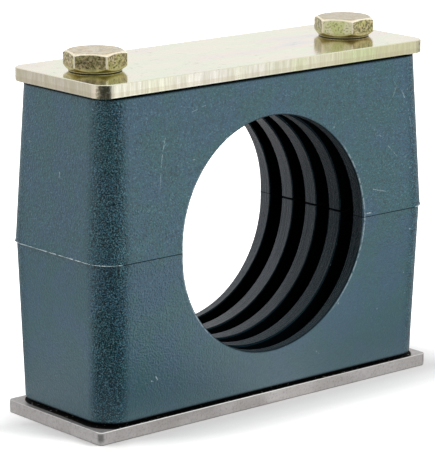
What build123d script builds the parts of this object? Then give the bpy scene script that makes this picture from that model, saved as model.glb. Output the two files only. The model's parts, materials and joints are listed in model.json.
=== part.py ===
"""Two-bolt tube clamp: ribbed plastic halves held between a cover plate and a weld plate.

The origin is on the underside of the weld plate, below the tube's centre.
X runs along the clamp from bolt to bolt, Y along the tube, and Z up along the bolts.
"""
import os
from math import cos, pi, radians, tan

from build123d import *

# ---- driving dimensions, in millimetres and degrees -------------------------------------

# the tube and the ribbed bore that grips it
tube_radius = 24.15
tube_clearance = 0.02
rib_count = 5
rib_width = 3.1
rib_height = 3.5
rib_end_relief = 0.25
bore_edge_round = 0.4

# bolts and nuts, quarter-inch coarse thread
bolt_radius = 3.175
thread_clearance = 0.05
bolt_hole_clearance = 0.32
thread_end_chamfer = 0.8
hex_across_flats = 11.11
head_height = 4.1
head_top_drop = 0.5
head_underside_rise = 0.85
washer_face_height = 0.3
washer_face_radius = 5.25
nut_height = 5.56
left_bolt_turn = 12.3
right_bolt_turn = 2.7
bolt_end_inset = 0.75

# the two clamp halves
body_depth = 32.4
bolt_wall = 1.89
end_wall = 6.85
crown_wall = 4.63
corner_radius = 5.6
outer_edge_round = 0.6
lower_face_draft = 2.4
upper_face_draft = 2.7
lower_end_draft = 1.2
upper_end_draft = 2.6
upper_half_overhang = 0.3
nut_recess_clearance = 0.35
body_lift = 0.6

# the two steel plates
weld_plate_thickness = 2.65
weld_plate_margin = 0.85
weld_plate_depth = 30.1
weld_plate_corner = 1.0
cover_plate_thickness = 2.75
cover_plate_inset = 0.3
cover_plate_depth = 29.4
cover_plate_corner = 3.2
plate_edge_round = 0.2

# ---- sizes and heights that follow ------------------------------------------------------

bore_radius = tube_radius + tube_clearance
groove_radius = bore_radius + rib_height
groove_width = (body_depth - rib_count * rib_width) / (rib_count - 1)
rib_pitch = rib_width + groove_width

bolt_hole_radius = bolt_radius + bolt_hole_clearance
bolt_x = groove_radius + bolt_wall + bolt_hole_radius
bolt_places = [(-bolt_x, 0), (bolt_x, 0)]

half_height = groove_radius + crown_wall
lower_half_length = bolt_x + bolt_hole_radius + end_wall
upper_half_length = lower_half_length + upper_half_overhang
nut_recess_depth = nut_height - body_lift

weld_plate_length = 2 * (lower_half_length + weld_plate_margin)
cover_plate_length = 2 * (lower_half_length - cover_plate_inset)

lower_face_z = weld_plate_thickness + body_lift
parting_z = lower_face_z + half_height
upper_face_z = parting_z + half_height
head_seat_z = upper_face_z + cover_plate_thickness


def flat_plate(length, depth, thickness, corner, base_z):
    """A punched steel plate with rounded corners, softened edges and two bolt holes."""
    with BuildPart() as plate:
        with BuildSketch(Plane.XY.offset(base_z)):
            RectangleRounded(length, depth, corner)
        extrude(amount=thickness)
        edge_round = min(plate_edge_round, 0.4 * thickness)
        fillet(plate.faces().filter_by(Axis.Z).edges(), edge_round)
        with BuildSketch(Plane.XY.offset(base_z)):
            with Locations(bolt_places):
                Circle(bolt_hole_radius)
        extrude(amount=thickness, mode=Mode.SUBTRACT)
    return plate


def clamp_half(direction, half_length, end_draft, face_draft):
    """One moulded half, from the parting plane outwards: direction is 1 for up, -1 for down."""
    outer_face_z = parting_z + direction * half_height
    outer_half_length = half_length - half_height * tan(radians(end_draft))
    outer_half_depth = body_depth / 2 - half_height * tan(radians(face_draft))
    with BuildPart() as half:
        # the block, widest at the parting plane: its side view cut to its end view
        with BuildSketch(Plane.XZ):
            with BuildLine():
                Polyline(
                    (-half_length, parting_z),
                    (half_length, parting_z),
                    (outer_half_length, outer_face_z),
                    (-outer_half_length, outer_face_z),
                    close=True,
                )
            make_face()
        extrude(amount=body_depth, both=True)
        with BuildSketch(Plane.YZ):
            with BuildLine():
                Polyline(
                    (-body_depth / 2, parting_z),
                    (body_depth / 2, parting_z),
                    (outer_half_depth, outer_face_z),
                    (-outer_half_depth, outer_face_z),
                    close=True,
                )
            make_face()
        extrude(amount=half_length, both=True, mode=Mode.INTERSECT)
        level_edges = half.faces().filter_by(Axis.Z).edges()
        fillet(half.edges() - level_edges, corner_radius)
        outer_face = half.faces().sort_by(Axis.Z, reverse=direction > 0)[0]
        fillet(outer_face.edges(), outer_edge_round)

        # half of the tube's bore, with its rim rounded at both faces
        with BuildSketch(Plane.XZ):
            with Locations((0, parting_z)):
                Circle(bore_radius)
        extrude(amount=body_depth, both=True, mode=Mode.SUBTRACT)
        bore_rims = half.edges().filter_by(GeomType.ELLIPSE)
        bore_rims = bore_rims.filter_by_position(Axis.X, -bore_radius, bore_radius)
        fillet(bore_rims, bore_edge_round)

        # the grooves, which leave ribs between them and at both faces
        for number in range(rib_count - 1):
            groove_y = (number - (rib_count - 2) / 2) * rib_pitch
            with BuildSketch(Plane.XZ.offset(-groove_y)):
                with Locations((0, parting_z)):
                    Circle(groove_radius)
            extrude(amount=groove_width / 2, both=True, mode=Mode.SUBTRACT)

        # the inner ribs stop just short of the parting plane
        inner_depth = body_depth - 2 * rib_width
        with BuildSketch(Plane.XY.offset(parting_z)):
            Rectangle(2 * groove_radius, inner_depth)
        extrude(amount=direction * rib_end_relief, mode=Mode.SUBTRACT)

        # the bolt holes, and the hexagonal recess at their outer ends
        with BuildSketch(Plane.XY.offset(parting_z)):
            with Locations(bolt_places):
                Circle(bolt_hole_radius)
        extrude(amount=direction * half_height, mode=Mode.SUBTRACT)
        recess_apothem = hex_across_flats / 2 + nut_recess_clearance
        with BuildSketch(Plane.XY.offset(outer_face_z)):
            with Locations(bolt_places):
                RegularPolygon(recess_apothem, 6, major_radius=False, rotation=30)
        extrude(amount=-direction * nut_recess_depth, mode=Mode.SUBTRACT)
    return half


def hex_bolt(x, turn):
    """A hexagon head bolt whose washer face sits on the cover plate."""
    head_top_z = head_seat_z + head_height
    corner_reach = hex_across_flats / 2 / cos(pi / 6)
    with BuildPart() as bolt:
        # hexagon above the washer face, with its corners sloped away by a cone above and below
        with BuildSketch(Plane.XY.offset(head_seat_z + washer_face_height)):
            with Locations((x, 0)):
                RegularPolygon(hex_across_flats / 2, 6, major_radius=False, rotation=turn)
        extrude(amount=head_height - washer_face_height)
        with BuildSketch(Plane.XZ):
            with BuildLine():
                Polyline(
                    (x, head_seat_z),
                    (x + washer_face_radius, head_seat_z + washer_face_height),
                    (x + corner_reach, head_seat_z + washer_face_height + head_underside_rise),
                    (x + corner_reach, head_top_z - head_top_drop),
                    (x + washer_face_radius, head_top_z),
                    (x, head_top_z),
                    close=True,
                )
            make_face()
        revolve(axis=Axis((x, 0, 0), (0, 0, 1)), mode=Mode.INTERSECT)

        # washer face and shank
        with BuildSketch(Plane.XY.offset(head_seat_z)):
            with Locations((x, 0)):
                Circle(washer_face_radius)
        extrude(amount=washer_face_height)
        with BuildSketch(Plane.XY.offset(head_seat_z)):
            with Locations((x, 0)):
                Circle(bolt_radius)
        extrude(amount=bolt_end_inset - head_seat_z)
        chamfer(bolt.edges().group_by(Axis.Z)[0], thread_end_chamfer)
    return bolt


def weld_nut(x):
    """A hexagon nut welded to the weld plate, seated in the lower half's recess."""
    base_z = weld_plate_thickness
    with BuildPart() as nut:
        with BuildSketch(Plane.XY.offset(base_z)):
            with Locations((x, 0)):
                RegularPolygon(hex_across_flats / 2, 6, major_radius=False, rotation=30)
                Circle(bolt_radius + thread_clearance, mode=Mode.SUBTRACT)
        extrude(amount=nut_height)
    return nut


weld_plate = flat_plate(
    weld_plate_length, weld_plate_depth, weld_plate_thickness, weld_plate_corner, 0
)
cover_plate = flat_plate(
    cover_plate_length, cover_plate_depth, cover_plate_thickness, cover_plate_corner, upper_face_z
)
lower_clamp_half = clamp_half(-1, lower_half_length, lower_end_draft, lower_face_draft)
upper_clamp_half = clamp_half(1, upper_half_length, upper_end_draft, upper_face_draft)

sub_parts = {
    "weld_plate": weld_plate,
    "weld_nut_left": weld_nut(-bolt_x),
    "weld_nut_right": weld_nut(bolt_x),
    "lower_clamp_half": lower_clamp_half,
    "upper_clamp_half": upper_clamp_half,
    "cover_plate": cover_plate,
    "bolt_left": hex_bolt(-bolt_x, left_bolt_turn),
    "bolt_right": hex_bolt(bolt_x, right_bolt_turn),
}

os.makedirs("parts", exist_ok=True)
for node_name, sub_part in sub_parts.items():
    sub_part.part.label = node_name
    export_step(sub_part.part, f"parts/{node_name}.step")

print(f"bore radius {bore_radius:.2f}, parting height {parting_z:.2f}, bolt spacing {2 * bolt_x:.2f}")
print(f"body {2 * upper_half_length:.2f} x {body_depth:.2f} x {2 * half_height:.2f}")
print(f"weld plate {weld_plate_length:.2f}, cover plate {cover_plate_length:.2f}")
print(f"bolt length {head_seat_z - bolt_end_inset:.2f}, height {head_seat_z + head_height:.2f}")
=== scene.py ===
"""Looks of a two-bolt tube clamp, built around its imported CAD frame.

Lengths are in metres and Z is up. The front is the -Y side. A direction seen from above is given
in degrees from the front, growing towards +X.
"""
import json
import math

import bpy
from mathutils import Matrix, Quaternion, Vector


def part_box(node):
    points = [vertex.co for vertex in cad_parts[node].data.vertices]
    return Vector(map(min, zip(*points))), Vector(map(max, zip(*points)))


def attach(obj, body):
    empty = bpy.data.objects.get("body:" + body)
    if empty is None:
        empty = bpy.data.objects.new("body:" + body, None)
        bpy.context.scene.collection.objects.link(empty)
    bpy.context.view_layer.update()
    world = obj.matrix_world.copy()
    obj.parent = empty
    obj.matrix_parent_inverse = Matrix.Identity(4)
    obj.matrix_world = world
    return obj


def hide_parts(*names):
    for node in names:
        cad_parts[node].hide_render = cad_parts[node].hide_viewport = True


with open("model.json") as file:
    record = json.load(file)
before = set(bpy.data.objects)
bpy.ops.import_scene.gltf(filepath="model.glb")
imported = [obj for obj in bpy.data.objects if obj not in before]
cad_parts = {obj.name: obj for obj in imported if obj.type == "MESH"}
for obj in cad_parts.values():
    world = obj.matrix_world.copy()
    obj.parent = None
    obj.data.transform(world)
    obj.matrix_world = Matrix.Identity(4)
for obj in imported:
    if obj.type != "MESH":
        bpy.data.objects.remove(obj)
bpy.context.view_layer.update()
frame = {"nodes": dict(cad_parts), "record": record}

MM = 0.001
nodes = frame["nodes"]
mounts = {mount["name"]: mount for mount in frame["record"]["mounts"]}
bore_centre = Vector(mounts["tube_bore"]["pos_m"])
bore_radius = mounts["tube_bore"]["dims"]["r_mm"] * MM
weld_low, weld_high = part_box("weld_plate")
cover_low, cover_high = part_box("cover_plate")
lower_low, lower_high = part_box("lower_clamp_half")
upper_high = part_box("upper_clamp_half")[1]
parting_z = lower_high.z


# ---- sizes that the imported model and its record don't name -------------------------------

# the clamp halves
GROOVE_RADIUS = 27.67 * MM
BODY_CORNER = 5.6 * MM
FOOT_HALF_LENGTH = 42.72 * MM
FOOT_HALF_DEPTH = 14.85 * MM

# the bolts
SHANK_RADIUS = 3.175 * MM
WASHER_RADIUS = 5.25 * MM
WASHER_HEIGHT = 0.3 * MM
HEAD_TOP_DROP = 0.5 * MM
HEAD_UNDER_RISE = 0.85 * MM
HEAD_CORNER_ROUND = 0.32 * MM
HEAD_EDGE_ROUND = 0.20 * MM
HEAD_SHARP_DEGREES = 40
CROWN_RINGS = (2.6 * MM, 4.6 * MM)         # radii of the rings of points on the head's flat top
CROWN_EDGE_ROUND = 0.08 * MM
SEAT_EDGE_ROUND = 0.06 * MM
SHANK_FILLET = 0.1 * MM
THREAD_PITCH = 1.27 * MM
THREAD_DEPTH = 0.7 * MM
THREAD_LENGTH = 19.0 * MM
THREAD_CREST, THREAD_FLANK = 0.12, 0.66    # as shares of half a pitch
RUN_OUT_PITCHES = 1.5
PLAIN_ABOVE_THREAD = 0.5 * MM
POINT_CHAMFER = 0.8 * MM

# where the bolts' rings of points stand, in degrees from each of the head's six corners
AROUND_CORNER = (
    -30, -22, -14, -8, -4.5, -3, -2.2, -1.4, -0.7, 0, 0.7, 1.4, 2.2, 3, 4.5, 8, 14, 22)
# how near a corner, in degrees, its upright edge is painted bright: partly wear, partly a painted
# highlight
WORN_LIT_CORNER_DEGREES = 1.8
ROWS_PER_PITCH = 14

# the fin along the parting plane: round a corner, along the end and round the next corner
FIN_ARC_START, FIN_ARC = 12, 78            # degrees from the face, and degrees covered
FIN_ARC_STEPS, FIN_END_STEPS, FIN_FADE_STEPS = 40, 60, 6
FIN_BROKEN_OFF = range(29, 36)             # the steps where little of it is left
FIN_ROOT = 0.15 * MM

# the way that the second bolt's pale flat faces at rest; its paleness is a painted reflection
PALE_FLAT = (-0.871, -0.491, 0.0)

# light scratches on the front faces, in millimetres: both ends as x and height above the bore's
# middle, then half the width. The last number is the strength
SCRATCHES = (
    ((-27.5, 25.0), (-29.0, 19.0), 0.125, 0.55),
    ((-29.0, 19.0), (-29.6, 13.5), 0.1125, 0.40),
    ((-33.0, 10.5), (-32.4, 9.6), 0.175, 0.80),
    ((26.5, 19.0), (29.5, 16.2), 0.125, 0.55),
    ((31.5, 14.0), (34.5, 11.0), 0.1125, 0.50),
    ((27.0, 5.5), (30.5, 4.6), 0.125, 0.45),
    ((35.5, 25.5), (36.4, 23.5), 0.15, 0.60),
    ((12.0, -26.5), (13.2, -27.4), 0.15, 0.60),
    ((-30.5, -24.0), (-29.8, -25.0), 0.175, 0.70),
    ((24.3, 0.6), (26.2, 0.7), 0.20, 0.85),
    ((37.5, 21.0), (38.6, 15.5), 0.125, 0.50),
    ((33.0, 24.0), (35.0, 27.5), 0.10, 0.45),
    ((-21.0, 27.5), (-17.5, 28.4), 0.10, 0.40),
)


# ---- studio settings ---------------------------------------------------------------------

WHITE = (1, 1, 1, 1)
BLACK = (0, 0, 0, 1)
PAPER = (0.86, 0.855, 0.85, 1)
CEILING = (0.9, 0.9, 0.9, 1)

# how bright the studio is in a reflection, as (direction, level). It is dark on the camera's
# side, between two soft lights
STUDIO = (
    (-180, 0.70), (-150, 0.38), (-128, 0.48), (-114, 0.92), (-104, 0.85), (-95, 0.40),
    (-85, 0.05), (-18, 0.03), (-9, 0.35), (2, 0.95), (14, 1.15), (34, 1.15), (38, 1.08),
    (41, 0.82), (44, 0.58), (54, 0.48), (75, 0.50), (105, 0.80), (139, 0.96), (180, 0.80),
)
# the same as the floor far from the clamp shows it
STUDIO_FAR = (
    (-180, 0.80), (-150, 0.62), (-118, 0.80), (-96, 1.10), (-82, 1.00), (-74, 0.55),
    (-66, 0.12), (-55, 0.04), (6, 0.04), (13, 0.35), (19, 1.00), (26, 1.20), (34, 1.15),
    (38, 1.24), (41, 0.86), (44, 0.60), (54, 0.48), (75, 0.50), (105, 0.80), (139, 0.96),
    (180, 0.80),
)
BRIGHTEST = 2.0                            # a colour ramp holds the levels as shares of this
FAR_FROM, FAR_BEYOND = 205 * MM, 225 * MM  # how far beside the clamp STUDIO_FAR takes over

# where the ceiling takes over from the studio's sides, as heights of a direction of length 1
CEILING_FROM, CEILING_ABOVE = 0.05, 0.32
# the world's light on surfaces that aren't glossy: a share of the studio's level, and the rest
SOFT_SIDE, SOFT_ALL = 0.35, 0.18

# name, direction and rise in degrees, size in metres, power in watts
LAMPS = (
    ("right_softbox", 42, 46, 0.4, 5.6),
    ("left_softbox", -132, 40, 0.5, 4.0),
)
LAMP_DISTANCE = 0.8

FLOOR_SIZE = 6
FLOOR_DROP = 0.02 * MM                     # how far the floor lies below the weld plate

CAMERA_LENS, CAMERA_SENSOR = 212.27, 36    # in millimetres
CAMERA_DIRECTION, CAMERA_RISE, CAMERA_ROLL = -40.65, 13.403, 0.163
CAMERA_DISTANCE = 0.55834
CAMERA_TARGET = bore_centre + Vector((-1.256, 0.441, -2.028)) * MM


# ---- node helpers ------------------------------------------------------------------------

class Tree:
    """A short way to write a shader's nodes: most calls add nodes and return their output."""

    def __init__(self, tree):
        self.tree = tree
        tree.nodes.clear()

    def node(self, kind, settings=None, inputs=None):
        made = self.tree.nodes.new(kind)
        for name, value in (settings or {}).items():
            setattr(made, name, value)
        for name, value in (inputs or {}).items():
            self.put(made.inputs[name], value)
        return made

    def put(self, socket, value):
        if isinstance(value, bpy.types.NodeSocket):
            self.tree.links.new(value, socket)
        elif value is not None:
            socket.default_value = value

    def math(self, operation, a, b=None, c=None, clamp=False):
        made = self.node("ShaderNodeMath", {"operation": operation, "use_clamp": clamp})
        for socket, value in zip(made.inputs, (a, b, c)):
            self.put(socket, value)
        return made.outputs[0]

    def add(self, a, b):
        return self.math("ADD", a, b)

    def subtract(self, a, b):
        return self.math("SUBTRACT", a, b)

    def absolute(self, value):
        return self.math("ABSOLUTE", value)

    def product(self, first, *others):
        for other in others:
            first = self.math("MULTIPLY", first, other)
        return first

    def largest(self, first, *others):
        for other in others:
            first = self.math("MAXIMUM", first, other)
        return first

    def vector_math(self, operation, a, b=None):
        made = self.node("ShaderNodeVectorMath", {"operation": operation})
        self.put(made.inputs[0], a)
        self.put(made.inputs[1], b)
        return made.outputs["Value" if operation in ("DOT_PRODUCT", "LENGTH", "DISTANCE") else 0]

    def parts(self, vector):
        made = self.node("ShaderNodeSeparateXYZ", {}, {"Vector": vector})
        return made.outputs["X"], made.outputs["Y"], made.outputs["Z"]

    def noise(self, vector, scale, detail, roughness):
        made = self.node("ShaderNodeTexNoise", {}, {
            "Vector": vector, "Scale": scale, "Detail": detail, "Roughness": roughness})
        return made.outputs["Fac"]

    def stretched_noise(self, vector, scales, detail, roughness):
        return self.noise(self.vector_math("MULTIPLY", vector, scales), 1.0, detail, roughness)

    def band(self, value, low, high, start, end):
        """start below low, end above high, and smooth between."""
        made = self.node("ShaderNodeMapRange", {"interpolation_type": "SMOOTHSTEP"})
        for name, number in zip(
            ("Value", "From Min", "From Max", "To Min", "To Max"), (value, low, high, start, end)
        ):
            self.put(made.inputs[name], number)
        return made.outputs["Result"]

    def rise(self, value, low, high, top=1.0):
        """0 below low and top above high."""
        return self.band(value, low, high, 0.0, top)

    def fall(self, value, low, high, top=1.0):
        """top below low and 0 above high."""
        return self.band(value, low, high, top, 0.0)

    def between(self, value, none_below, low, high, none_above):
        """1 from low to high, fading to 0 on both sides."""
        return self.product(
            self.rise(value, none_below, low), self.fall(value, high, none_above))

    def mix(self, share, a, b):
        made = self.node("ShaderNodeMix", {"data_type": "RGBA"})
        self.put(made.inputs["Factor"], share)
        self.put(made.inputs["A"], a)
        self.put(made.inputs["B"], b)
        return made.outputs["Result"]

    def paint(self, colour, *coats):
        """A colour with coats over it in turn, each one given as (share, its colour)."""
        for share, coat in coats:
            colour = self.mix(share, colour, coat)
        return colour

    def ramp(self, share, stops):
        made = self.node("ShaderNodeValToRGB", {}, {"Fac": share})
        elements = made.color_ramp.elements
        while len(elements) < len(stops):
            elements.new(0.5)
        for element, (place, colour) in zip(elements, stops):
            element.position = place
            element.color = colour
        return made.outputs["Color"]

    def scratch(self, place, start, end, width):
        """1 along the straight line between two points of the surface, 0 a width away."""
        start, end = Vector(start), Vector(end)
        along = end - start
        offset = self.vector_math("SUBTRACT", place, tuple(start))
        share = self.vector_math("DOT_PRODUCT", offset, tuple(along / along.length_squared))
        share = self.math("MINIMUM", self.largest(share, 0.0), 1.0)
        nearest = self.node("ShaderNodeVectorMath", {"operation": "SCALE"})
        nearest.inputs[0].default_value = tuple(along)
        self.put(nearest.inputs["Scale"], share)
        distance = self.vector_math("DISTANCE", offset, nearest.outputs[0])
        return self.fall(distance, 0.3 * width, width)


def rgb(red, green, blue):
    """A colour written as it looks on screen, from 0 to 255, as the linear colour Blender takes."""
    linear = [
        (value / 255 / 12.92) if value <= 10 else ((value / 255 + 0.055) / 1.055) ** 2.4
        for value in (red, green, blue)
    ]
    return (*linear, 1.0)


def new_material(name):
    """A material, its empty tree, and each point's place and normal in the piece's own axes."""
    material = bpy.data.materials.new(name)
    material.use_nodes = True
    tree = Tree(material.node_tree)
    coordinates = tree.node("ShaderNodeTexCoord").outputs
    return material, tree, coordinates["Object"], coordinates["Normal"]


def finish_material(tree, height, bump_distance, bump_strength, **inputs):
    """A Principled surface with the inputs given, and a bump as deep as the distance."""
    shader = tree.node("ShaderNodeBsdfPrincipled", {}, {
        name.replace("_", " "): value for name, value in inputs.items()})
    bump = tree.node("ShaderNodeBump", {}, {
        "Strength": bump_strength, "Distance": bump_distance, "Height": height})
    tree.put(shader.inputs["Normal"], bump.outputs["Normal"])
    output = tree.node("ShaderNodeOutputMaterial")
    tree.put(output.inputs["Surface"], shader.outputs["BSDF"])


# ---- materials ---------------------------------------------------------------------------

def moulded_faces(tree, place, on_corner):
    """Colour and roughness of the plastic: fine light and dark specks over faint clouds."""
    z = tree.parts(place)[2]
    cloud = tree.noise(place, 160.0, 3.0, 0.6)
    fine = tree.noise(place, 1900.0, 2.0, 0.6)
    speck = tree.noise(place, 3400.0, 1.0, 0.5)
    dot = tree.noise(place, 4300.0, 1.0, 0.4)
    # the upper half is more speckled, and the lower one is darker at its foot
    speckled = tree.band(z, parting_z - 8 * MM, parting_z + 6 * MM, 0.5, 1.3)
    colour = tree.paint(
        tree.mix(tree.rise(cloud, 0.35, 0.65), rgb(6, 75, 84), rgb(18, 72, 95)),
        (tree.product(tree.fall(fine, 0.36, 0.52, 0.6), speckled), rgb(4, 52, 62)),
        (tree.product(tree.rise(speck, 0.54, 0.74, 0.42), speckled), rgb(84, 128, 138)),
        (tree.fall(z, 5 * MM, 20 * MM, 0.5), rgb(0, 60, 72)),
        # the grain is painted stronger on the rounded upright corners: dark specks, and light
        # specks that are painted glints of its pebbles
        (tree.product(on_corner, tree.fall(dot, 0.42, 0.54)), rgb(0, 20, 28)),
        (tree.product(on_corner, tree.rise(dot, 0.57, 0.68, 0.5)), rgb(98, 134, 142)),
    )
    return colour, tree.band(fine, 0.3, 0.7, 0.46, 0.34)


def nicks_and_scratches(tree, place, radius, colour):
    """The colour with nicks, most of them by the bore and at the +X end, and the scratches."""
    x, y, _ = tree.parts(place)
    near_bore = tree.fall(radius, bore_radius + 0.3 * MM, bore_radius + 2.5 * MM, 0.07)
    far_end = tree.rise(x, 20 * MM, 40 * MM, 0.05)
    threshold = tree.subtract(0.80, tree.add(near_bore, far_end))
    nick = tree.subtract(tree.noise(place, 620.0, 1.0, 0.5), threshold)
    nick = tree.math("MULTIPLY", nick, 30.0, clamp=True)
    colour = tree.mix(tree.product(nick, 0.8), colour, rgb(150, 170, 178))

    side_view = tree.vector_math("MULTIPLY", place, (1, 0, 1))
    on_front = tree.fall(y, -13 * MM, -11 * MM)
    broken = tree.rise(tree.noise(place, 900.0, 2.0, 0.6), 0.42, 0.56)
    for (x0, z0), (x1, z1), width, strength in SCRATCHES:
        start = (x0 * MM, 0.0, bore_centre.z + z0 * MM)
        end = (x1 * MM, 0.0, bore_centre.z + z1 * MM)
        mark = tree.scratch(side_view, start, end, width * MM)
        colour = tree.mix(
            tree.product(mark, on_front, broken, strength), colour, rgb(158, 176, 182))
    return colour


def clamp_plastic():
    """Teal-grey moulded polypropylene: spark-eroded grain, dark grooves of painted shade, nicks and
    scuffs.
    """
    material, tree, place, normal = new_material("clamp_plastic")
    x, y, z = tree.parts(place)
    end_x, face_y = upper_high.x, upper_high.y
    from_middle = tree.absolute(y)
    centred = tree.vector_math("SUBTRACT", place, tuple(bore_centre))
    radius = tree.vector_math("LENGTH", tree.vector_math("MULTIPLY", centred, (1, 0, 1)))
    on_corner = tree.product(
        tree.rise(tree.absolute(x), end_x - 7.5 * MM, end_x - 4.5 * MM),
        tree.rise(from_middle, face_y - 7.5 * MM, face_y - 4.0 * MM))
    colour, roughness = moulded_faces(tree, place, on_corner)
    colour = nicks_and_scratches(tree, place, radius, colour)

    # the bore: crests marked with rings and painted lighter towards the back, grooves painted
    # nearly black: painted shade inside the bore
    in_bore = tree.product(
        tree.fall(radius, bore_radius + 0.1 * MM, bore_radius + 0.3 * MM),
        tree.fall(from_middle, face_y - 0.5 * MM, face_y - 0.3 * MM))
    in_groove = tree.product(
        tree.fall(from_middle, face_y - 3.0 * MM, face_y - 2.6 * MM),
        tree.between(
            radius, bore_radius + 0.15 * MM, bore_radius + 0.5 * MM,
            GROOVE_RADIUS + 0.1 * MM, GROOVE_RADIUS + 0.3 * MM))
    rings = tree.stretched_noise(place, (60, 5200, 60), 2.0, 0.6)
    far_back = tree.rise(y, -face_y + 2 * MM, face_y - 4 * MM)
    shaded_crest = tree.paint(
        tree.mix(far_back, rgb(14, 34, 42), rgb(70, 76, 82)),
        (tree.fall(rings, 0.35, 0.62, 0.5), rgb(12, 20, 26)))

    # the rim of the bore, light in places: partly wear and partly a painted highlight along its
    # edge
    worn_and_lit_rim = tree.product(
        tree.between(
            radius, bore_radius + 0.12 * MM, bore_radius + 0.3 * MM,
            bore_radius + 0.4 * MM, bore_radius + 0.6 * MM),
        tree.rise(from_middle, face_y - 0.9 * MM, face_y - 0.6 * MM),
        tree.rise(tree.noise(place, 1100.0, 3.0, 0.7), 0.38, 0.55, 0.75))

    # shade in the seams: upright faces at the parting plane, and beside both plates
    from_parting = tree.absolute(tree.subtract(z, parting_z))
    shade = tree.largest(
        tree.product(
            tree.fall(from_parting, 0.05 * MM, 0.13 * MM, 0.85),
            tree.fall(tree.absolute(tree.parts(normal)[2]), 0.5, 0.8)),
        tree.rise(z, upper_high.z - 0.75 * MM, upper_high.z - 0.25 * MM),
        tree.fall(z, lower_low.z + 0.1 * MM, lower_low.z + 0.8 * MM))

    # the colour with painted shade in the bore, its grooves and the seams, and the rim's partly
    # painted highlight
    colour = tree.paint(
        colour,
        (in_bore, shaded_crest),
        (in_groove, rgb(2, 4, 6)),
        (worn_and_lit_rim, rgb(140, 160, 168)),
        (shade, rgb(4, 8, 8)),
    )
    roughness = tree.largest(
        roughness, tree.product(in_groove, 0.95), tree.product(shade, 0.9))
    # less gloss on the corners and inside the bore, and none in the grooves and seams; the gloss
    # lost in the bore, grooves and seams is painted shade
    gloss = tree.paint(
        WHITE,
        (on_corner, rgb(200, 220, 226)),
        (in_bore, tree.mix(far_back, rgb(60, 80, 86), rgb(190, 192, 196))),
        (in_groove, BLACK),
        (shade, BLACK),
    )
    # a pebbled grain, lower towards the foot, and the rings in the bore
    pebbles = tree.product(
        tree.noise(place, 2400.0, 1.0, 0.5), tree.band(z, 8 * MM, parting_z, 0.45, 1.0))
    height = tree.add(pebbles, tree.product(rings, in_bore))
    finish_material(
        tree, height, 0.25 * MM, 1.0,
        Base_Color=colour, Roughness=roughness, Specular_Tint=gloss,
        Specular_IOR_Level=0.95, IOR=1.56, Sheen_Weight=0.03, Sheen_Roughness=0.3)
    return material


def flash_plastic():
    """The same plastic where it squeezed out at the parting plane, pale: partly scuffed and partly
    a painted highlight along the thin fin.
    """
    material, tree, place, _ = new_material("parting_flash")
    worn_and_lit = tree.noise(place, 1300.0, 2.0, 0.6)
    colour = tree.mix(tree.rise(worn_and_lit, 0.35, 0.6), rgb(96, 120, 126), rgb(186, 200, 204))
    finish_material(tree, worn_and_lit, 0.04 * MM, 0.4, Base_Color=colour, Roughness=0.5)
    return material


def zinc_plate():
    """Bright yellow zinc plating with faint iridescent clouds and sheared edges."""
    material, tree, place, normal = new_material("yellow_zinc_plate")
    x, y, z = tree.parts(place)
    from_middle_x, from_middle_y = tree.absolute(x), tree.absolute(y)

    cloud = tree.stretched_noise(place, (34, 70, 34), 2.0, 0.55)
    dust = tree.noise(place, 700.0, 2.0, 0.6)
    top = tree.ramp(cloud, [
        (0.30, rgb(240, 228, 214)),
        (0.42, rgb(244, 238, 216)),
        (0.50, rgb(234, 240, 212)),
        (0.58, rgb(244, 232, 218)),
        (0.68, rgb(228, 226, 222)),
    ])
    top = tree.mix(tree.rise(dust, 0.60, 0.74, 0.35), top, rgb(176, 170, 152))

    # the sheared edges: pinkish towards -X and yellow-green towards +X, with marks running down
    shear = tree.stretched_noise(place, (1500, 1500, 140), 3.0, 0.65)
    patch = tree.stretched_noise(place, (70, 70, 20), 2.0, 0.5)
    patchy = tree.rise(patch, 0.4, 0.6)
    torn = tree.between(
        z, cover_low.z + 0.25 * MM, cover_low.z + 0.4 * MM,
        cover_low.z + 0.9 * MM, cover_low.z + 1.25 * MM)
    corner = tree.product(
        tree.rise(from_middle_x, cover_high.x - 2.6 * MM, cover_high.x - 1.9 * MM),
        tree.rise(from_middle_y, cover_high.y - 2.4 * MM, cover_high.y - 1.7 * MM))
    pits = tree.noise(place, 1500.0, 2.0, 0.6)
    side = tree.paint(
        tree.mix(patchy, rgb(255, 251, 240), rgb(252, 252, 228)),
        (tree.rise(patch, 0.56, 0.7), rgb(254, 240, 234)),
        (tree.rise(x, -10 * MM, 30 * MM),
         tree.mix(patchy, rgb(250, 246, 206), rgb(240, 248, 196))),
        (tree.fall(shear, 0.40, 0.60, 0.28), rgb(186, 178, 138)),
        # a torn darker band low down, and browner ends
        (tree.product(torn, 0.35), rgb(214, 202, 170)),
        (tree.rise(from_middle_x, cover_high.x - 1.2 * MM, cover_high.x - 0.3 * MM, 0.35),
         rgb(206, 184, 152)),
        # the rounded corners are dull and pitted, painted darker: partly pitting and partly a
        # painted dark reflection
        (tree.product(corner, tree.band(pits, 0.42, 0.6, 0.8, 0.15)), rgb(120, 116, 84)),
    )

    edge = tree.fall(tree.absolute(tree.parts(normal)[2]), 0.3, 0.7)
    rougher = tree.product(edge, tree.band(shear, 0.3, 0.7, 0.26, 0.12))
    height = tree.add(tree.product(dust, 0.2), tree.product(edge, shear))
    finish_material(
        tree, height, 0.06 * MM, 0.45,
        Base_Color=tree.mix(edge, top, side), Metallic=1.0, Roughness=tree.add(0.14, rougher))
    return material


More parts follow.
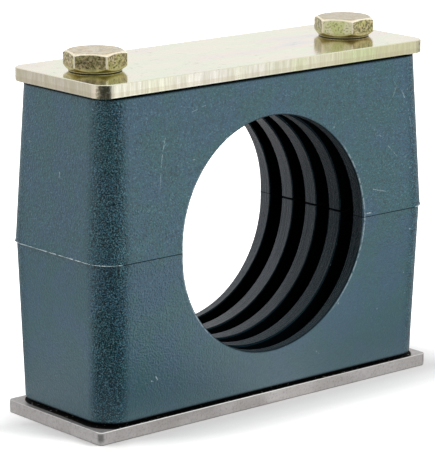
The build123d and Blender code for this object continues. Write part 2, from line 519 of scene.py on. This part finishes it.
def zinc_bolt():
    """Olive yellow zinc plating on a forged head: pale scuffed top, speckled flats, and edges
    painted bright, partly as a painted highlight.
    """
    material, tree, place, normal = new_material("yellow_zinc_bolt")
    x, _, z = tree.parts(place)
    up = tree.parts(normal)[2]
    speck = tree.noise(place, 1700.0, 2.0, 0.6)
    cloud = tree.noise(place, 330.0, 3.0, 0.6)
    pit = tree.noise(place, 2600.0, 1.0, 0.5)
    blotch = tree.noise(place, 520.0, 2.0, 0.6)

    # one flat of the second bolt is painted pale and less metallic: a painted reflection
    facing = tree.vector_math("DOT_PRODUCT", normal, PALE_FLAT)
    pale = tree.product(tree.rise(facing, 0.90, 0.96), tree.rise(x, -1 * MM, 1 * MM))
    painted_reflection = tree.paint(
        tree.mix(tree.rise(cloud, 0.42, 0.58), rgb(224, 232, 160), rgb(246, 246, 204)),
        (tree.fall(pit, 0.34, 0.46, 0.6), rgb(140, 138, 84)))
    flat = tree.paint(
        tree.mix(tree.rise(cloud, 0.38, 0.62), rgb(190, 186, 122), rgb(208, 190, 150)),
        (tree.fall(speck, 0.40, 0.60, 0.8), rgb(112, 104, 66)),
        (tree.fall(pit, 0.34, 0.44, 0.8), rgb(52, 48, 26)),
        (tree.rise(pit, 0.60, 0.72, 0.6), rgb(232, 228, 196)),
        (pale, painted_reflection),
        # the lowest part of the flats is brighter
        (tree.fall(z, cover_high.z + 0.95 * MM, cover_high.z + 1.3 * MM, 0.55),
         rgb(214, 206, 146)),
    )
    crown = tree.paint(
        tree.mix(tree.rise(cloud, 0.36, 0.64), rgb(226, 216, 194), rgb(216, 200, 166)),
        (tree.rise(cloud, 0.58, 0.72, 0.7), rgb(196, 172, 124)),
        (tree.rise(blotch, 0.56, 0.66, 0.7), rgb(206, 176, 122)),
        (tree.fall(blotch, 0.34, 0.42, 0.6), rgb(176, 166, 138)),
        (tree.fall(speck, 0.34, 0.42, 0.6), rgb(118, 110, 86)),
        # the second bolt's top is a little darker
        (tree.rise(x, -10 * MM, 10 * MM, 0.3), rgb(176, 168, 142)),
    )

    # olive underneath, edges painted bright (partly wear, partly a painted highlight), and a
    # painted contact shadow where the head meets the plate
    worn_and_lit = tree.node("ShaderNodeAttribute", {"attribute_name": "worn_and_lit"}).outputs["Fac"]
    worn_and_lit = tree.product(worn_and_lit, tree.band(cloud, 0.30, 0.42, 0.4, 0.8))
    colour = tree.paint(
        flat,
        (tree.rise(up, 0.55, 0.8), crown),
        (tree.product(tree.fall(up, -0.55, -0.3), 0.6), rgb(150, 138, 70)),
        (worn_and_lit, rgb(255, 246, 222)),
        (tree.fall(z, cover_high.z + 0.08 * MM, cover_high.z + 0.26 * MM), rgb(40, 34, 8)),
    )

    # the flats are less metallic than the top, the second bolt's least, and the pale one hardly
    on_flats = tree.product(
        tree.band(x, -10 * MM, 10 * MM, 0.55, 0.2), tree.math("MULTIPLY_ADD", pale, -0.9, 1.0))
    metallic = tree.paint(
        tree.mix(tree.rise(tree.absolute(up), 0.3, 0.7), on_flats, WHITE),
        (worn_and_lit, (0.25, 0.25, 0.25, 1)))
    finish_material(
        tree, tree.add(speck, pit), 0.05 * MM, 0.5,
        Base_Color=colour, Metallic=metallic, Roughness=tree.band(up, 0.55, 0.8, 0.38, 0.30))
    return material


def bare_steel():
    """Warm grey rolled steel, matt, with a painted highlight along its upper edge and painted shade
    under the clamp.
    """
    material, tree, place, normal = new_material("bare_steel")
    x, y, z = tree.parts(place)
    from_middle_x, from_middle_y = tree.absolute(x), tree.absolute(y)
    up = tree.parts(normal)[2]
    grain = tree.noise(place, 2000.0, 3.0, 0.65)
    streak = tree.stretched_noise(place, (90, 900, 900), 3.0, 0.6)
    cloud = tree.noise(place, 110.0, 3.0, 0.55)

    # painted shade on the plate's top, under the clamp and up to a reach outside its foot
    past = tree.node("ShaderNodeCombineXYZ", {}, {
        "X": tree.largest(tree.subtract(from_middle_x, FOOT_HALF_LENGTH - BODY_CORNER), 0.0),
        "Y": tree.largest(tree.subtract(from_middle_y, FOOT_HALF_DEPTH - BODY_CORNER), 0.0)})
    outside = tree.subtract(tree.vector_math("LENGTH", past.outputs[0]), BODY_CORNER)
    reach = tree.product(
        tree.band(y, -12 * MM, 0.0, 1.8 * MM, 0.9 * MM),
        tree.band(x, -42 * MM, -36 * MM, 0.55, 1.0),
        tree.band(x, 36 * MM, 42 * MM, 1.0, 0.3),
        tree.band(y, 8 * MM, 13 * MM, 1.0, 0.4))
    under = tree.product(
        tree.fall(tree.math("DIVIDE", outside, reach), 0.45, 1.0),
        tree.rise(z, weld_high.z - 0.12 * MM, weld_high.z - 0.04 * MM),
        tree.fall(from_middle_y, weld_high.y - 0.25 * MM, weld_high.y - 0.15 * MM))
    # where the painted shade is broken by lighter specks, painted glints
    glint = tree.band(tree.noise(place, 1400.0, 1.0, 0.5), 0.66, 0.72, 1.0, 0.3)

    # a painted highlight on the rounded upper edge, most of all in front, and a painted dark
    # reflection on the upright corners
    top_edge_highlight = tree.product(
        tree.between(up, 0.1, 0.4, 0.8, 0.97),
        tree.band(y, weld_low.y + 0.3 * MM, weld_low.y + 2 * MM, 1.0, 0.25),
        tree.band(x, -10 * MM, 30 * MM, 1.0, 0.5))
    corner = tree.product(
        tree.rise(from_middle_x, weld_high.x - 1.2 * MM, weld_high.x - 0.5 * MM),
        tree.rise(from_middle_y, weld_high.y - 1.2 * MM, weld_high.y - 0.5 * MM),
        tree.between(
            z, weld_low.z + 0.3 * MM, weld_low.z + 1.2 * MM,
            weld_high.z - 0.6 * MM, weld_high.z - 0.2 * MM))
    colour = tree.paint(
        tree.mix(tree.rise(cloud, 0.35, 0.65), rgb(172, 168, 166), rgb(188, 185, 184)),
        (tree.rise(streak, 0.45, 0.7, 0.3), rgb(150, 144, 142)),
        (tree.fall(grain, 0.36, 0.50, 0.4), rgb(130, 126, 124)),
        (tree.product(under, glint), rgb(3, 3, 3)),
        (tree.product(top_edge_highlight, 0.9), rgb(255, 253, 250)),
        (tree.product(corner, 0.7), rgb(84, 84, 82)),
        # a darker line along the bottom
        (tree.fall(z, weld_low.z + 0.05 * MM, weld_low.z + 0.3 * MM, 0.6), rgb(70, 68, 66)),
    )
    finish_material(
        tree, grain, 0.05 * MM, 0.4, Base_Color=colour, Metallic=0.7,
        Roughness=tree.add(0.42, tree.product(under, 0.5)))
    return material


# ---- pieces ------------------------------------------------------------------------------

def dress(node_name, material):
    """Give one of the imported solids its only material."""
    piece = nodes[node_name]
    piece.data.materials.clear()
    piece.data.materials.append(material)


def new_piece(name, points, faces, material, sharp_angle=None):
    """A smooth mesh object, whose edges above an angle in degrees may be kept sharp."""
    mesh = bpy.data.meshes.new(name)
    mesh.from_pydata([tuple(point) for point in points], [], faces)
    mesh.update()
    piece = bpy.data.objects.new(name, mesh)
    bpy.context.scene.collection.objects.link(piece)
    mesh.materials.append(material)
    mesh.shade_smooth()
    if sharp_angle is not None:
        mesh.set_sharp_from_angle(angle=math.radians(sharp_angle))
    return piece


def bezier(start, control, end, steps):
    """Points of a quadratic curve, both ends included."""
    points = []
    for step in range(steps + 1):
        t = step / steps
        points.append(tuple(
            (1 - t) ** 2 * a + 2 * t * (1 - t) * b + t * t * c
            for a, b, c in zip(start, control, end)))
    return points


def hexagon_reach(angle, corner_reach, rounding):
    """Distance from the axis to a hexagon's side, at an angle from a corner, corner rounded."""
    angle = (angle + math.pi / 6) % (math.pi / 3) - math.pi / 6
    centre = corner_reach - rounding / math.sin(math.pi / 3)
    tangent = math.atan2(rounding * 0.5, centre + rounding * math.cos(math.pi / 6))
    if abs(angle) < tangent:
        across = centre * math.sin(angle)
        return centre * math.cos(angle) + math.sqrt(rounding ** 2 - across ** 2)
    apothem = corner_reach * math.cos(math.pi / 6)
    return apothem / math.cos(math.pi / 6 - abs(angle))


def head_profile(reach, corner_reach, seat, top):
    """A bolt's outline as (radius, height), where its side is at a reach, down to the shank."""
    slope_run = corner_reach - WASHER_RADIUS

    def above(radius):
        return top - HEAD_TOP_DROP * max(radius - WASHER_RADIUS, 0.0) / slope_run

    def beneath(radius):
        rise = HEAD_UNDER_RISE * max(radius - WASHER_RADIUS, 0.0) / slope_run
        return seat + WASHER_HEIGHT + rise

    inner = reach - HEAD_EDGE_ROUND
    crown_outer = WASHER_RADIUS + CROWN_EDGE_ROUND
    profile = [(radius, top) for radius in CROWN_RINGS]
    profile += bezier(
        (WASHER_RADIUS - CROWN_EDGE_ROUND, top), (WASHER_RADIUS, top),
        (crown_outer, above(crown_outer)), 2)
    profile += bezier(
        (inner, above(inner)), (reach, above(reach)),
        (reach, above(reach) - HEAD_EDGE_ROUND), 5)
    profile += bezier(
        (reach, beneath(reach) + HEAD_EDGE_ROUND), (reach, beneath(reach)),
        (inner, beneath(inner)), 4)
    return profile + [
        (WASHER_RADIUS, seat + WASHER_HEIGHT),
        (WASHER_RADIUS, seat + SEAT_EDGE_ROUND),
        (WASHER_RADIUS - SEAT_EDGE_ROUND, seat),
        (SHANK_RADIUS + SHANK_FILLET, seat),
        (SHANK_RADIUS, seat - SHANK_FILLET),
    ]


def thread_radius(turn, height, end_z):
    """Radius of the threaded end at an angle and a height, with its run-out and point."""
    phase = (height / THREAD_PITCH - turn / (2 * math.pi)) % 1.0
    from_crest = abs(2 * phase - 1)
    depth = min(max((from_crest - THREAD_CREST) / THREAD_FLANK, 0.0), 1.0)
    below_plain = end_z + THREAD_LENGTH - height
    run_out = min(max(below_plain / (RUN_OUT_PITCHES * THREAD_PITCH), 0.0), 1.0)
    radius = SHANK_RADIUS - THREAD_DEPTH * depth * run_out
    return min(radius, SHANK_RADIUS - POINT_CHAMFER + (height - end_z))


def detailed_bolt(node_name, material):
    """A forged hexagon bolt with rounded edges and a cut thread, in place of the plain solid."""
    low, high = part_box(node_name)
    axis_x, axis_y = (low.x + high.x) / 2, (low.y + high.y) / 2
    corner_reach, corner_angle = max(
        (math.hypot(v.co.x - axis_x, v.co.y - axis_y), math.atan2(v.co.y - axis_y, v.co.x - axis_x))
        for v in nodes[node_name].data.vertices)
    rows = int(THREAD_LENGTH / THREAD_PITCH * ROWS_PER_PITCH) + 2
    levels = [low.z + row * THREAD_PITCH / ROWS_PER_PITCH for row in range(rows)]

    # one profile at each angle. The mark of the bright edges, partly wear and partly a painted
    # highlight, is 1 along the head's top edge and upright corners
    points, rings, wear_and_highlight = [], [], []
    for degrees in (corner * 60 + offset for corner in range(6) for offset in AROUND_CORNER):
        angle = math.radians(degrees)
        turn = angle + corner_angle
        reach = hexagon_reach(angle, corner_reach, HEAD_CORNER_ROUND)
        profile = head_profile(reach, corner_reach, cover_high.z, high.z)
        profile.append((SHANK_RADIUS, levels[-1] + PLAIN_ABOVE_THREAD))
        for height in reversed(levels):
            profile.append((thread_radius(turn, height, low.z), height))
        rings.append(range(len(points), len(points) + len(profile)))
        for radius, height in profile:
            points.append((
                axis_x + radius * math.cos(turn), axis_y + radius * math.sin(turn), height))
        # in the profile's order: five points on the crown, five round the edge, three down the side
        from_corner = abs((degrees + 30) % 60 - 30)
        corner_wear_and_highlight = 1.0 if from_corner < WORN_LIT_CORNER_DEGREES else 0.0
        head_wear_and_highlight = [0.0] * 5 + [1.0] * 5 + [corner_wear_and_highlight] * 3
        wear_and_highlight += head_wear_and_highlight + [0.0] * (len(profile) - len(head_wear_and_highlight))

    # faces between neighbouring rings, then a fan over each end
    faces = []
    neighbours = list(zip(rings, rings[1:] + rings[:1]))
    for ring, following in neighbours:
        for step in range(len(ring) - 1):
            faces.append((ring[step], ring[step + 1], following[step + 1], following[step]))
    for end, centre_z in ((0, high.z), (-1, low.z)):
        centre = len(points)
        points.append((axis_x, axis_y, centre_z))
        wear_and_highlight.append(0.0)
        for ring, following in neighbours:
            side = (ring[end], following[end], centre)
            faces.append(side if end == 0 else side[::-1])
    piece = new_piece(node_name + "_detailed", points, faces, material, HEAD_SHARP_DEGREES)
    piece.data.attributes.new("worn_and_lit", "FLOAT", "POINT").data.foreach_set("value", wear_and_highlight)
    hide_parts(node_name)
    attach(piece, node_name)


def fin_path():
    """The fin's way round the +X end: at each step the way out, and the point it starts from."""
    inner_x, inner_y = upper_high.x - BODY_CORNER, upper_high.y - BODY_CORNER

    def arc(first_degrees, centre):
        for step in range(FIN_ARC_STEPS + 1):
            angle = math.radians(first_degrees + FIN_ARC * step / FIN_ARC_STEPS)
            yield (math.sin(angle), -math.cos(angle)), centre

    path = list(arc(FIN_ARC_START, (inner_x, -inner_y)))
    for step in range(1, FIN_END_STEPS):
        path.append(((1.0, 0.0), (inner_x, -inner_y + 2 * inner_y * step / FIN_END_STEPS)))
    path += arc(90, (inner_x, inner_y))
    return path


def parting_flash(name, side, material):
    """The thin fin of plastic along the parting plane, round one end of the upper half."""
    path = fin_path()
    last = len(path) - 1
    points, faces = [], []
    for number, (normal, centre) in enumerate(path):
        fade = min(number / FIN_FADE_STEPS, (last - number) / FIN_FADE_STEPS, 1.0)
        uneven = (0.5 + 0.22 * math.sin(number * 0.83) + 0.16 * math.sin(number * 2.17 + side)
                  + 0.12 * math.sin(number * 3.71))
        left = 0.15 if number in FIN_BROKEN_OFF else 1.0
        # how far the fin stands out, and half its height at the root
        out = (0.04 + 0.2 * max(uneven, 0.2) * left) * fade * MM + 0.01 * MM
        half = (0.06 + 0.12 * max(uneven, 0.25) * left) * MM
        section = ((-FIN_ROOT, -half), (out, -0.3 * half), (out, 0.4 * half), (-FIN_ROOT, half))
        for reach, height in section:
            points.append((
                side * (centre[0] + normal[0] * (BODY_CORNER + reach)),
                centre[1] + normal[1] * (BODY_CORNER + reach),
                parting_z + height))
    for number in range(last):
        for corner in range(4):
            a, b = number * 4 + corner, number * 4 + (corner + 1) % 4
            faces.append((a, b, b + 4, a + 4))
    faces += [(3, 2, 1, 0), tuple(last * 4 + corner for corner in range(4))]
    if side < 0:
        faces = [face[::-1] for face in faces]
    piece = new_piece(name, points, faces, material)
    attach(piece, "clamp_top")


# ---- studio ------------------------------------------------------------------------------

def unit_vector(direction, rise):
    """The vector of length 1 in a direction and at a rise above level, both in degrees."""
    turn, rise = math.radians(direction), math.radians(rise)
    return Vector((
        math.sin(turn) * math.cos(rise), -math.cos(turn) * math.cos(rise), math.sin(rise)))


def studio_level(tree, direction, table):
    """How bright the studio is in a direction, from a table of it."""
    x, y, _ = tree.parts(direction)
    turn = tree.math("ARCTAN2", x, tree.product(y, -1.0))
    share = tree.math("MULTIPLY_ADD", turn, 1 / (2 * math.pi), 0.5)
    stops = []
    for degrees, level in table:
        grey = level / BRIGHTEST
        stops.append(((degrees + 180) / 360, (grey, grey, grey, 1)))
    return tree.product(tree.ramp(share, stops), BRIGHTEST)


def make_world():
    """White to the camera, the studio in reflections, and a soft light on everything else."""
    world = bpy.data.worlds.new("studio")
    bpy.context.scene.world = world
    world.use_nodes = True
    tree = Tree(world.node_tree)
    direction = tree.node("ShaderNodeTexCoord").outputs["Generated"]
    rays = tree.node("ShaderNodeLightPath").outputs
    level = studio_level(tree, direction, STUDIO)
    high_up = tree.rise(tree.parts(direction)[2], CEILING_FROM, CEILING_ABOVE)
    mirrored = tree.mix(high_up, level, CEILING)
    soft = tree.math("MULTIPLY_ADD", level, SOFT_SIDE, SOFT_ALL)
    seen = tree.largest(rays["Is Camera Ray"], rays["Is Transmission Ray"])
    strength = tree.paint(soft, (rays["Is Glossy Ray"], mirrored), (seen, WHITE))
    background = tree.node("ShaderNodeBackground", {}, {"Color": WHITE, "Strength": strength})
    output = tree.node("ShaderNodeOutputWorld")
    tree.put(output.inputs["Surface"], background.outputs[0])


def make_floor():
    """White paper with a soft contact shadow, partly cast and partly painted, which shows the
    studio in reflections.
    """
    bpy.ops.mesh.primitive_plane_add(
        size=FLOOR_SIZE, location=(0, 0, weld_low.z - FLOOR_DROP))
    floor = bpy.context.object
    floor.name = "floor"
    material, tree, place, _ = new_material("floor")
    x, y, _ = tree.parts(place)
    rays = tree.node("ShaderNodeLightPath").outputs
    beside = tree.largest(
        tree.subtract(tree.absolute(x), weld_high.x), tree.subtract(tree.absolute(y), weld_high.y))

    # what reflections see: the studio, and a lit strip close to the clamp
    mirrored = tree.mix(
        tree.rise(beside, FAR_FROM, FAR_BEYOND),
        studio_level(tree, place, STUDIO), studio_level(tree, place, STUDIO_FAR))
    mirrored = tree.largest(mirrored, tree.fall(beside, 8 * MM, 14 * MM, 0.8))

    # what the camera sees: paper with a painted contact shadow, darker close to the weld plate,
    # that fades to pure white, sooner at the left and behind
    paper = tree.mix(tree.band(beside, 0.0, 6 * MM, 0.86, 1.0), BLACK, PAPER)
    seen = tree.largest(rays["Is Camera Ray"], rays["Is Transmission Ray"])
    faint = tree.largest(
        tree.fall(x, -50 * MM, -40 * MM, 0.2), tree.rise(y, 0.0, 16 * MM, 0.5))
    glow = tree.largest(
        tree.product(seen, tree.band(beside, 2 * MM, 30 * MM, faint, 1.0)),
        tree.product(rays["Is Glossy Ray"], mirrored))

    # the mix's second input stays empty, so reflections show the emission alone
    matt = tree.node("ShaderNodeBsdfDiffuse", {}, {"Color": paper})
    unmirrored = tree.node("ShaderNodeMixShader", {}, {"Fac": rays["Is Glossy Ray"]})
    tree.put(unmirrored.inputs[1], matt.outputs[0])
    emission = tree.node("ShaderNodeEmission", {}, {"Color": WHITE, "Strength": glow})
    total = tree.node("ShaderNodeAddShader")
    tree.put(total.inputs[0], unmirrored.outputs[0])
    tree.put(total.inputs[1], emission.outputs[0])
    output = tree.node("ShaderNodeOutputMaterial")
    tree.put(output.inputs["Surface"], total.outputs[0])
    floor.data.materials.append(material)


def soft_lamp(name, direction, rise, size, power):
    """A square lamp aimed at the clamp, unseen in reflections."""
    away = unit_vector(direction, rise)
    data = bpy.data.lights.new(name, "AREA")
    data.shape = "SQUARE"
    data.size = size
    data.energy = power
    lamp = bpy.data.objects.new(name, data)
    lamp.location = bore_centre + away * LAMP_DISTANCE
    lamp.rotation_euler = (-away).to_track_quat("-Z", "Y").to_euler()
    lamp.visible_glossy = False
    bpy.context.scene.collection.objects.link(lamp)


def make_camera():
    data = bpy.data.cameras.new("camera")
    data.lens = CAMERA_LENS
    data.sensor_width = CAMERA_SENSOR
    camera = bpy.data.objects.new("camera", data)
    away = unit_vector(CAMERA_DIRECTION, CAMERA_RISE)
    camera.location = CAMERA_TARGET + away * CAMERA_DISTANCE
    roll = Quaternion((0, 0, 1), math.radians(CAMERA_ROLL))
    camera.rotation_euler = ((-away).to_track_quat("-Z", "Y") @ roll).to_euler()
    bpy.context.scene.collection.objects.link(camera)
    bpy.context.scene.camera = camera
    bpy.context.scene.view_settings.view_transform = "Standard"


# ---- the scene ---------------------------------------------------------------------------

plastic = clamp_plastic()
steel = bare_steel()
bolt_zinc = zinc_bolt()
for name, material in (
    ("lower_clamp_half", plastic), ("upper_clamp_half", plastic),
    ("weld_plate", steel), ("weld_nut_left", steel), ("weld_nut_right", steel),
    ("cover_plate", zinc_plate()), ("bolt_left", bolt_zinc), ("bolt_right", bolt_zinc),
):
    dress(name, material)
for name in ("bolt_left", "bolt_right"):
    detailed_bolt(name, bolt_zinc)
pale_plastic = flash_plastic()
parting_flash("parting_flash_left", -1, pale_plastic)
parting_flash("parting_flash_right", 1, pale_plastic)

make_world()
make_floor()
for lamp in LAMPS:
    soft_lamp(*lamp)
make_camera()
